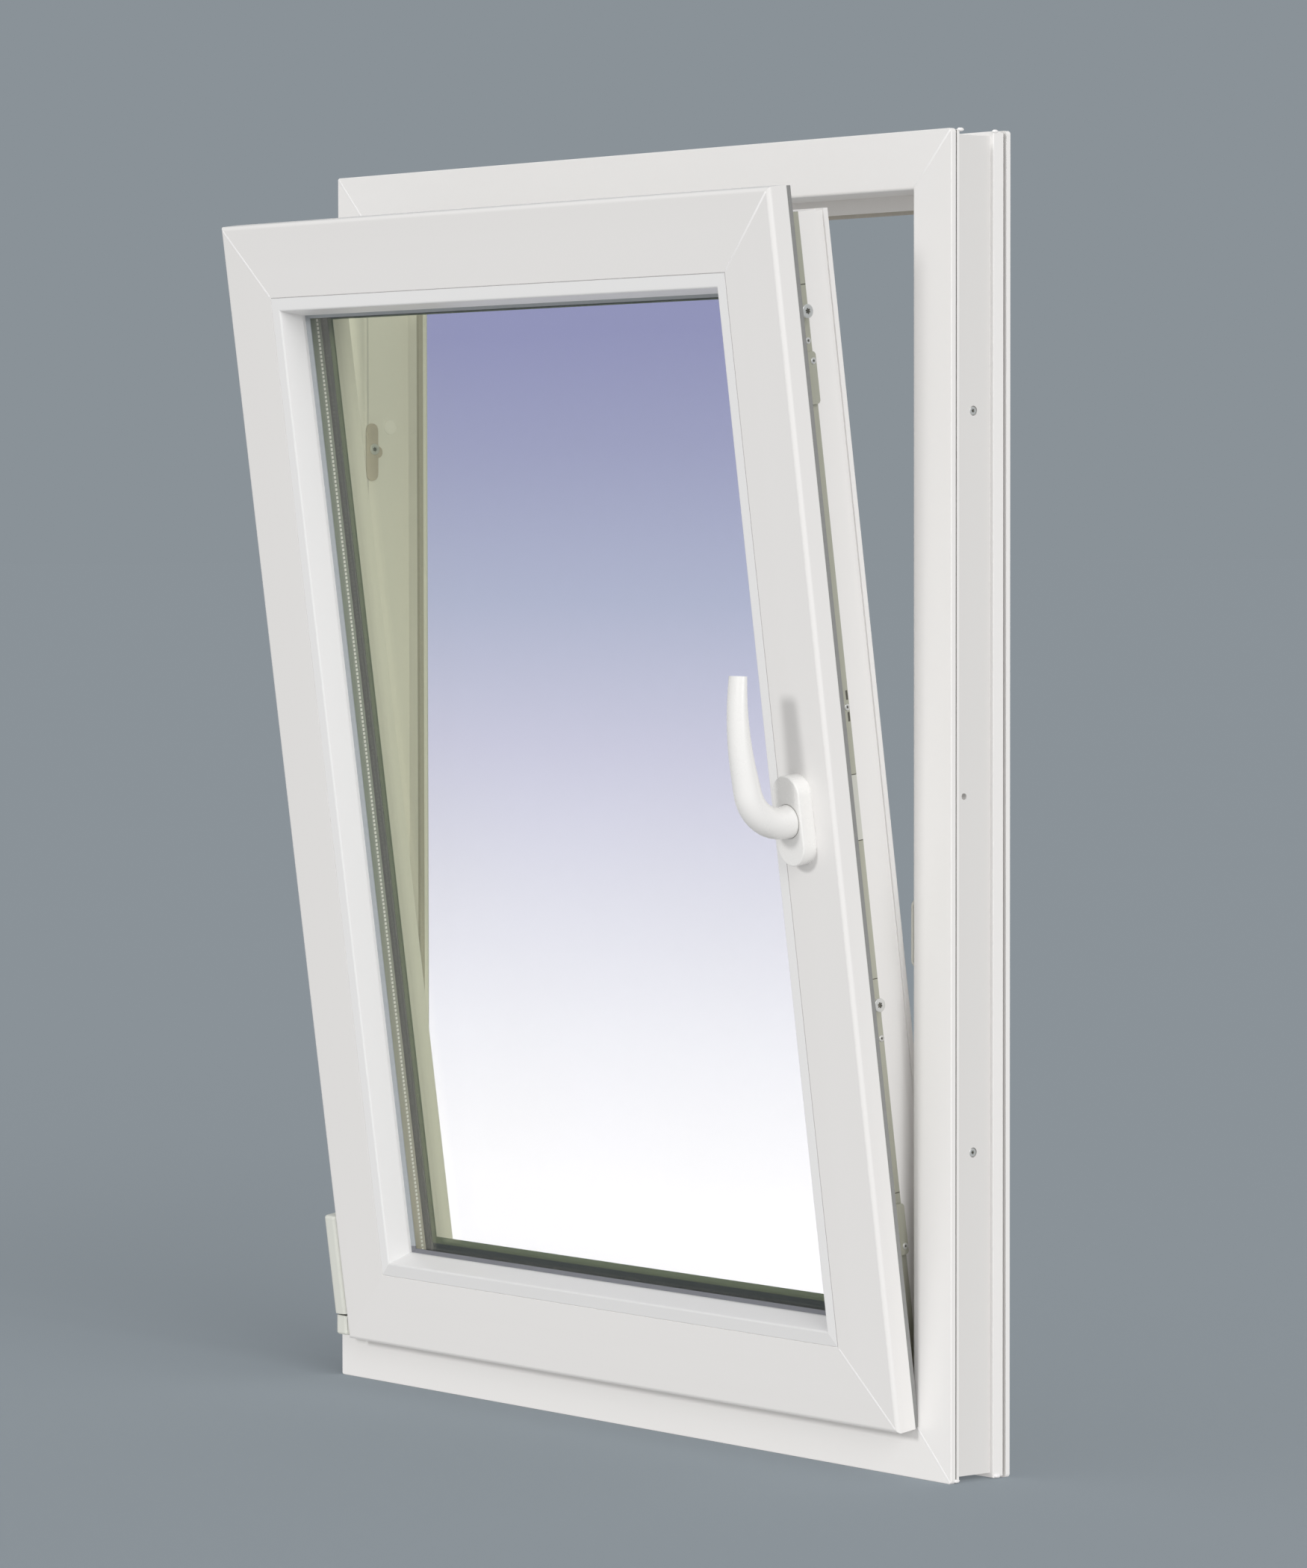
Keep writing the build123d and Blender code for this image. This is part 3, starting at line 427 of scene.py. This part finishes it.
finish = {
    "frame_sill": frameLevel, "frame_head": frameLevel, "frame_left_jamb": frameUpright,
    "frame_right_jamb": frameUpright, "frame_gasket": frameSeal,
    "sash_bottom_rail": sashLevel, "sash_top_rail": sashLevel, "sash_left_stile": sashUpright,
    "sash_right_stile": sashUpright, "sash_gasket": sealGrey,
    "bead_bottom": beadLowShaded, "bead_top": beadLevel, "bead_left": beadUpright, "bead_right": beadUpright,
    "glazing_gasket_inner": glazingSeal, "glazing_gasket_outer": outerSeal,
    "glass_inner": clearGlass, "glass_outer": clearGlass, "spacer_bar": spacerMetal, "edge_seal": edgeSealant,
    "handle_base": handlePaint, "handle_lever": handlePaint,
    "bottom_bearing_cover": coverPlastic, "sash_hinge_cover": coverPlastic, "stay_bearing_cover": coverPlastic,
    "gearbox_plate": plateSteel, "faceplate_top": gearSteelLevel,
    "cam_upper": brightZinc, "cam_lower": brightZinc, "cam_bottom": brightZinc,
    "bottom_bearing": brightZinc, "sash_hinge": brightZinc, "stay_arm": brightZinc, "stay_link": brightZinc,
    "stay_bearing": brightZinc, "stay_sliders": gearSteelLevel,
    "keeper_right": plateSteel, "keeper_left": keeperSteel, "keeper_sill": plateSteel,
}
for name, node in nodes.items():
    node.data.materials.clear()
    node.data.materials.append(finish.get(name, gearSteel))
print("materials on", len(nodes), "nodes")

# small pieces


def keepOnly(piece):
    bpy.ops.object.select_all(action="DESELECT")
    piece.select_set(True)
    bpy.context.view_layer.objects.active = piece


def useModifier(piece, kind, **settings):
    keepOnly(piece)
    modifier = piece.modifiers.new(kind.lower(), kind)
    for key, value in settings.items():
        setattr(modifier, key, value)
    bpy.ops.object.modifier_apply(modifier=modifier.name)


# turns +Z to out and +Y to up, and leaves the place in the mesh
def settle(piece, place, out, material, up=None):
    out = Vector(out).normalized()
    side = Vector(up).cross(out).normalized() if up else out.orthogonal().normalized()
    turn = Matrix((side, out.cross(side), out)).transposed().to_4x4()
    piece.matrix_world = Matrix.Translation(place) @ turn
    keepOnly(piece)
    bpy.ops.object.transform_apply(location=True, rotation=True, scale=True)
    if material:
        piece.data.materials.clear()
        piece.data.materials.append(material)
    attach(piece, "root")
    return piece


def copyOf(piece, name):
    twin = piece.copy()
    twin.data = piece.data.copy()
    twin.name = name
    bpy.context.scene.collection.objects.link(twin)
    return twin


# raised seams where the bars are welded
weldSizes = {"width": 0.0016, "height": 0.0005, "sunk": 0.0004}
weldLook = {"Colour": (0.96, 0.945, 0.94, 1), "Shade": (0.92, 0.905, 0.9, 1), "Clouding": 0.3, "Line Depth": 0.02,
            "Smooth": 0.4, "Worn": 0.55}
weldPlastic = plasticMaterial("weldPlastic", weldLook)


def addWeld(name, start, end, out):
    start, end = Vector(start), Vector(end)
    run = end - start
    bpy.ops.object.select_all(action="DESELECT")
    bpy.ops.mesh.primitive_cube_add(size=1)
    bar = bpy.context.object
    bar.name = name
    bar.scale = (weldSizes["width"], run.length, weldSizes["height"])
    bpy.ops.object.transform_apply(location=False, rotation=False, scale=True)
    useModifier(bar, "BEVEL", width=0.00012, segments=2, limit_method="ANGLE")
    bpy.ops.object.shade_smooth_by_angle(angle=math.radians(40))
    raised = Vector(out).normalized() * (weldSizes["height"] / 2 - weldSizes["sunk"])
    settle(bar, (start + end) / 2 + raised, out, weldPlastic, up=run)


clearance = 0.0012
for sideName, side in (("left", -1), ("right", 1)):
    for edgeName, low in (("bottom", True), ("top", False)):
        if low and side < 0:  # this corner is sanded flush
            continue
        x = side * window["halfWidth"]
        z = window["bottom"] if low else window["top"]
        upwards = 1 if low else -1
        inset = window["face"] - clearance * 2
        addWeld(f"frameWeld_{edgeName}_{sideName}",
                (x - side * clearance, window["roomFace"], z + upwards * clearance),
                (x - side * inset, window["roomFace"], z + upwards * inset), (0, -1, 0))
        x = side * sash["halfWidth"]
        reach = [0.0035, sash["face"] - 0.0015]
        drops = [sash["height"] - r if low else r for r in reach]
        addWeld(f"sashWeld_{edgeName}_{sideName}", sashPoint(x - side * reach[0], 0, drops[0]),
                sashPoint(x - side * reach[1], 0, drops[1]), sashOut)
print("weld seams done")

# screws and the tops of the cams
screwSizes = {"plate": 0.0026, "frame": 0.0034, "keeper": 0.0048, "cam": 0.0054, "thickness": 0.0012}


def makeScrew(name, radius, thickness):  # a low head with a star socket, whose floor is a dark disc painted as the shade inside the socket
    bpy.ops.object.select_all(action="DESELECT")
    bpy.ops.mesh.primitive_cylinder_add(vertices=32, radius=radius, depth=thickness)
    head = bpy.context.object
    head.name = name
    useModifier(head, "BEVEL", width=thickness * 0.45, segments=3, limit_method="ANGLE")
    for turn in (0.0, math.pi / 3, 2 * math.pi / 3):
        bpy.ops.object.select_all(action="DESELECT")
        bpy.ops.mesh.primitive_cube_add(size=1, location=(0, 0, thickness * 0.5), rotation=(0, 0, turn))
        cutter = bpy.context.object
        cutter.scale = (radius * 0.86, radius * 0.27, thickness * 1.1)
        bpy.ops.object.transform_apply(location=True, rotation=True, scale=True)
        useModifier(head, "BOOLEAN", operation="DIFFERENCE", object=cutter, solver="EXACT")
        bpy.data.objects.remove(cutter)
    head.data.materials.append(brightZinc)
    # the socket's floor, painted dark as the shade inside the socket
    bpy.ops.object.select_all(action="DESELECT")
    bpy.ops.mesh.primitive_cylinder_add(vertices=18, radius=radius * 0.45, depth=thickness * 0.2,
                                        location=(0, 0, -thickness * 0.1))
    socket = bpy.context.object
    useModifier(socket, "BEVEL", width=thickness * 0.04, segments=1, limit_method="ANGLE")
    socket.data.materials.append(darkSteelAndShade)
    keepOnly(head)
    socket.select_set(True)
    bpy.ops.object.join()
    bpy.ops.object.shade_smooth_by_angle(angle=math.radians(35))
    return head


plateScrew = makeScrew("plateScrew", screwSizes["plate"], screwSizes["thickness"])
frameScrew = makeScrew("frameScrew", screwSizes["frame"], screwSizes["thickness"])
keeperScrew = makeScrew("keeperScrew", screwSizes["keeper"], screwSizes["thickness"])
camTop = makeScrew("camTop", screwSizes["cam"], screwSizes["thickness"])
gearX = sash["halfWidth"] - sash["rebate"]
gearDepth = 0.036
camHeight = 0.0095
gearScrewSpots = ((0.1198, 0.0415), (0.1352, 0.0415), (0.25, 0.036), (0.36, 0.036), (0.401, 0.0425), (0.48, 0.036),
                  (0.595, 0.036), (0.6587, 0.0425), (0.76, 0.036))  # drop and depth
for number, (drop, depth) in enumerate(gearScrewSpots):
    settle(copyOf(plateScrew, f"gearScrew_{number}"), sashPoint(gearX + 0.0002, depth, drop), (1, 0, 0),
           None)
settle(copyOf(plateScrew, "supportScrew"), sashPoint(gearX + 0.0041, 0.0415, 0.8215), (1, 0, 0), None)
settle(copyOf(plateScrew, "liftScrew"), sashPoint(gearX + 0.0041, 0.0415, 0.1352), (1, 0, 0), None)
for name, drop in (("camTop_upper", 0.097), ("camTop_lower", 0.631)):
    settle(copyOf(camTop, name), sashPoint(gearX + camHeight + 0.0003, gearDepth, drop), (1, 0, 0), None)
frameScrewHeights = (0.2485, 0.8165)
for number, spot in enumerate(frameScrewHeights):
    for sideName, side in (("left", -1), ("right", 1)):
        settle(copyOf(frameScrew, f"frameScrew_{sideName}_{number}"), (side * 0.3945, 0, spot), (side, 0, 0),
               None)
settle(copyOf(keeperScrew, "keeperScrew_left"), (-0.3532, -0.0178, 0.7975), (1, 0, 0), None)
for original in (plateScrew, frameScrew, keeperScrew, camTop):
    bpy.data.objects.remove(original)
print("screws done")

# dark joints between the lengths of faceplate, and slots through them painted as dark plates of shade
jointSizes = {"gap": 0.0008, "proud": 0.0001, "thickness": 0.0006, "slotLength": 0.0075, "slotWidth": 0.0022}


def addInlay(name, place, length, width):  # a thin dark plate let into the gear, with rounded corners, for the dark joints and for the painted shade in the slots
    bpy.ops.object.select_all(action="DESELECT")
    bpy.ops.mesh.primitive_cube_add(size=1)
    inlay = bpy.context.object
    inlay.name = name
    inlay.scale = (width, length, jointSizes["thickness"])
    bpy.ops.object.transform_apply(location=False, rotation=False, scale=True)
    useModifier(inlay, "BEVEL", width=min(length, width) * 0.2, segments=2, limit_method="ANGLE")
    settle(inlay, place, (1, 0, 0), darkSteelAndShade, up=sashUp)


inlayX = gearX + jointSizes["proud"] - jointSizes["thickness"] / 2
for number, drop in enumerate((0.077, 0.45303, 0.50403, 0.61203, 0.78)):
    addInlay(f"gearJoint_{number}", sashPoint(inlayX, gearDepth, drop), jointSizes["gap"], 0.0178)
# the slots are painted as dark plates of shade
for number, drop in enumerate((0.3918, 0.4085)):
    addInlay(f"gearSlotShade_{number}", sashPoint(inlayX, 0.0435, drop), jointSizes["slotLength"],
             jointSizes["slotWidth"])
print("gear details done")

# caps over the screws, the joint round the handle's neck, and a dark disc at the bottom hinge that stands for its pin
# and paints the shade in the gap between the covers
discLooks = {"neck": {"Colour": (0.36, 0.35, 0.33, 1), "Shade": (0.28, 0.27, 0.25, 1), "Clouding": 0.5}}
neckJoint = plasticMaterial("neckJoint", discLooks["neck"])
discSizes = {"capRadius": 0.0065, "capHeight": 0.0014, "neckRadius": 0.0134, "neckHeight": 0.0006,
             "pinShadeRadius": 0.0056, "pinShadeHeight": 0.0031}


def addDisc(name, radius, height, place, out, material):  # a disc with rounded edges
    bpy.ops.object.select_all(action="DESELECT")
    bpy.ops.mesh.primitive_cylinder_add(vertices=48, radius=radius, depth=height)
    disc = bpy.context.object
    disc.name = name
    useModifier(disc, "BEVEL", width=height * 0.35, segments=3, limit_method="ANGLE")
    bpy.ops.object.shade_smooth_by_angle(angle=math.radians(35))
    return settle(disc, place, out, material)


jambFace = window["halfWidth"] - window["face"]
for number, spot in enumerate(frameScrewHeights):
    for sideName, side in (("left", -1), ("right", 1)):
        addDisc(f"screwCap_{sideName}_{number}", discSizes["capRadius"], discSizes["capHeight"],
                (side * jambFace, 0, spot), (-side, 0, 0), weldPlastic)
handleX = sash["halfWidth"] - 0.0395
addDisc("neckJoint", discSizes["neckRadius"], discSizes["neckHeight"], sashPoint(handleX, -0.0131, 0.48103),
        sashOut, neckJoint)
# dark disc: partly the hinge pin, partly painted shade in the gap between the hinge covers
addDisc("hingePinAndGapShade", discSizes["pinShadeRadius"], discSizes["pinShadeHeight"],
        (-0.3713, -0.0358, 0.0528), (0, 0, 1), darkSteelAndShade)

# flap of the outer glazing seal
# the ring is raised, so that its top bar hides behind the bead
flapSizes = {"inset": 0.0835, "raise": 0.0045, "width": 0.006, "front": 0.0444, "thickness": 0.0014}
flapSeal = sealMaterial("flapSeal", (0.1, 0.125, 0.09), (0.14, 0.165, 0.12))
bpy.ops.object.select_all(action="DESELECT")
bpy.ops.mesh.primitive_plane_add(size=1)
flap = bpy.context.object
flap.name = "outerSealFlap"
flap.scale = (2 * (sash["halfWidth"] - flapSizes["inset"]),
              sash["height"] - 2 * flapSizes["inset"] + flapSizes["raise"], 1)
bpy.ops.object.transform_apply(location=False, rotation=False, scale=True)
bpy.ops.object.mode_set(mode="EDIT")
bpy.ops.mesh.select_all(action="SELECT")
bpy.ops.mesh.inset(thickness=flapSizes["width"])
bpy.ops.mesh.delete(type="FACE")
bpy.ops.object.mode_set(mode="OBJECT")
useModifier(flap, "SOLIDIFY", thickness=flapSizes["thickness"])
useModifier(flap, "BEVEL", width=flapSizes["thickness"] * 0.3, segments=2, limit_method="ANGLE")
settle(flap, sashPoint(0, flapSizes["front"], (sash["height"] - flapSizes["raise"]) / 2), sashOut, flapSeal,
       up=sashUp)

# rough lumps of plastic left where the jamb's ribs were welded
lumpX = window["halfWidth"] - 0.0008
lumpSpots = (("top_front", -0.0165, 1.0296, 0.0026), ("top_rear", 0.0188, 1.0296, 0.0024),
             ("bottom_front", -0.0203, -0.0024, 0.0026), ("bottom_rear", 0.0215, -0.0022, 0.003))
for name, y, z, radius in lumpSpots:
    bpy.ops.object.select_all(action="DESELECT")
    bpy.ops.mesh.primitive_ico_sphere_add(subdivisions=3, radius=radius)
    lump = bpy.context.object
    lump.name = "weldLump_" + name
    bpy.ops.object.mode_set(mode="EDIT")
    bpy.ops.mesh.select_all(action="SELECT")
    bpy.ops.transform.vertex_random(offset=radius * 0.14, seed=len(name))
    bpy.ops.object.mode_set(mode="OBJECT")
    lump.scale = (0.5, 1.25, 0.55)
    bpy.ops.object.transform_apply(location=False, rotation=False, scale=True)
    useModifier(lump, "SMOOTH", factor=0.4, iterations=1)
    bpy.ops.object.shade_smooth()
    settle(lump, (lumpX, y, z), (0, 0, 1), weldPlastic, up=(0, 1, 0))
print("caps, seal flap and weld lumps done")

# light, floor and camera
studio = {"backdrop": (0.254, 0.287, 0.314), "ambient": 0.52, "floorLevel": 0.68,
          "key": 1.0, "keyTowards": (0.0, -0.93, 0.36), "keySpread": 11,
          "side": 1.4, "sideTowards": (0.9, -0.25, 0.36), "sideSpread": 40}
world = bpy.data.worlds.new("studioWorld")
bpy.context.scene.world = world
world.use_nodes = True
tree = world.node_tree
tree.nodes.clear()
rays = addNode(tree, "ShaderNodeLightPath")
seen = addNode(tree, "ShaderNodeMath", operation="MAXIMUM")
seenToo = addNode(tree, "ShaderNodeMath", operation="MAXIMUM")
soft = addNode(tree, "ShaderNodeBackground", {"Color": (1, 1, 1, 1), "Strength": studio["ambient"]})
plain = addNode(tree, "ShaderNodeBackground", {"Color": (*studio["backdrop"], 1), "Strength": 1.0})
pick = addNode(tree, "ShaderNodeMixShader")
out = addNode(tree, "ShaderNodeOutputWorld")
tree.links.new(rays.outputs["Is Camera Ray"], seen.inputs[0])
tree.links.new(rays.outputs["Is Glossy Ray"], seen.inputs[1])
tree.links.new(seen.outputs[0], seenToo.inputs[0])
tree.links.new(rays.outputs["Is Transmission Ray"], seenToo.inputs[1])
tree.links.new(seenToo.outputs[0], pick.inputs[0])
tree.links.new(soft.outputs[0], pick.inputs[1])
tree.links.new(plain.outputs[0], pick.inputs[2])
tree.links.new(pick.outputs[0], out.inputs["Surface"])


def addSun(name, towards, strength, spread):
    lamp = bpy.data.lights.new(name, "SUN")
    lamp.energy = strength
    lamp.angle = math.radians(spread)
    sun = bpy.data.objects.new(name, lamp)
    bpy.context.scene.collection.objects.link(sun)
    sun.rotation_euler = Vector(towards).to_track_quat("Z", "Y").to_euler()
    return sun


keySun = addSun("keySun", studio["keyTowards"], studio["key"], studio["keySpread"])
addSun("sideSun", studio["sideTowards"], studio["side"], studio["sideSpread"])

bpy.ops.object.select_all(action="DESELECT")
bpy.ops.mesh.primitive_plane_add(size=400, location=(0, 0, window["bottom"]))
floor = bpy.context.object
floor.name = "floor"
floorMaterial, tree, shader, place = newMaterial("floorPaint", 0.9)
floorTone = [c / studio["floorLevel"] for c in studio["backdrop"]]
cloud = addNode(tree, "ShaderNodeTexNoise", {"Scale": 1.3, "Detail": 2.0})
paleTone = [c * 1.01 for c in floorTone]
tone = addNode(tree, "ShaderNodeMix", {"A": (*floorTone, 1), "B": (*paleTone, 1)}, data_type="RGBA")
tree.links.new(place, cloud.inputs["Vector"])
tree.links.new(cloud.outputs["Fac"], tone.inputs["Factor"])
tree.links.new(tone.outputs["Result"], shader.inputs["Base Color"])
shader.inputs["Specular IOR Level"].default_value = 0.0
floor.data.materials.append(floorMaterial)
floor.visible_diffuse = False
unlit = bpy.data.collections.new("unlitByKey")  # keeps the low key light's long shadow off the floor
unlit.objects.link(floor)
keySun.light_linking.receiver_collection = unlit
unlit.collection_objects[0].light_linking.link_state = "EXCLUDE"

# a sheet behind the window that only shows through the glass, with its colours from the top down
backdropLook = {"topZ": 0.916, "lowZ": 0.105, "level": 1.94, "place": (0, 0.45, 0.62), "width": 5, "height": 1.24}
backdropTones = ((0.366, 0.367, 0.849), (0.449, 0.457, 0.932), (0.59, 0.615, 1.098), (0.829, 0.807, 1.321),
                 (1.066, 1.038, 1.52), (1.297, 1.263, 1.75), (1.483, 1.431, 1.908))
backdropPlaces = (0.0, 0.138, 0.311, 0.483, 0.655, 0.828, 1.0)
bpy.ops.object.select_all(action="DESELECT")
bpy.ops.mesh.primitive_plane_add(size=1, location=backdropLook["place"], rotation=(math.pi / 2, 0, 0))
sheet = bpy.context.object
sheet.name = "glassBackdrop"
sheet.scale = (backdropLook["width"], backdropLook["height"], 1)
bpy.ops.object.transform_apply(location=True, rotation=True, scale=True)
sheetMaterial = bpy.data.materials.new("glassBackdrop")
sheetMaterial.use_nodes = True
tree = sheetMaterial.node_tree
tree.nodes.clear()
place = addNode(tree, "ShaderNodeTexCoord")
parts = addNode(tree, "ShaderNodeSeparateXYZ")
fall = addNode(tree, "ShaderNodeMapRange", {"From Min": backdropLook["topZ"], "From Max": backdropLook["lowZ"]})
tones = addNode(tree, "ShaderNodeValToRGB")
ramp = tones.color_ramp
while len(ramp.elements) < len(backdropTones):
    ramp.elements.new(0.5)
for element, spot, tone in zip(ramp.elements, backdropPlaces, backdropTones):
    element.position = spot
    element.color = [*(c / 2 for c in tone), 1]  # half, because the sheet's level nearly doubles it
glow = addNode(tree, "ShaderNodeEmission", {"Strength": backdropLook["level"]})
out = addNode(tree, "ShaderNodeOutputMaterial")
tree.links.new(place.outputs["Object"], parts.inputs[0])
tree.links.new(parts.outputs["Z"], fall.inputs["Value"])
tree.links.new(fall.outputs["Result"], tones.inputs["Fac"])
tree.links.new(tones.outputs["Color"], glow.inputs["Color"])
tree.links.new(glow.outputs[0], out.inputs["Surface"])
sheet.data.materials.append(sheetMaterial)
sheet.visible_camera = sheet.visible_diffuse = sheet.visible_glossy = sheet.visible_shadow = False

view = {"place": (3.86606, -3.07209, 0.71469), "yaw": 51.51, "down": 2.263, "roll": -0.097, "pixels": 8108.6,
        "imageWidth": 1750, "sensor": 36.0}
lens = bpy.data.cameras.new("camera")
lens.sensor_fit = "HORIZONTAL"
lens.sensor_width = view["sensor"]
lens.lens = view["pixels"] / view["imageWidth"] * view["sensor"]
lens.clip_end = 500
camera = bpy.data.objects.new("camera", lens)
bpy.context.scene.collection.objects.link(camera)
camera.matrix_world = (Matrix.Translation(view["place"]) @ Matrix.Rotation(math.radians(view["yaw"]), 4, "Z")
                       @ Matrix.Rotation(math.radians(90 - view["down"]), 4, "X")
                       @ Matrix.Rotation(math.radians(view["roll"]), 4, "Z"))
bpy.context.scene.camera = camera
bpy.context.scene.view_settings.view_transform = "Standard"
print("light, floor and camera done")
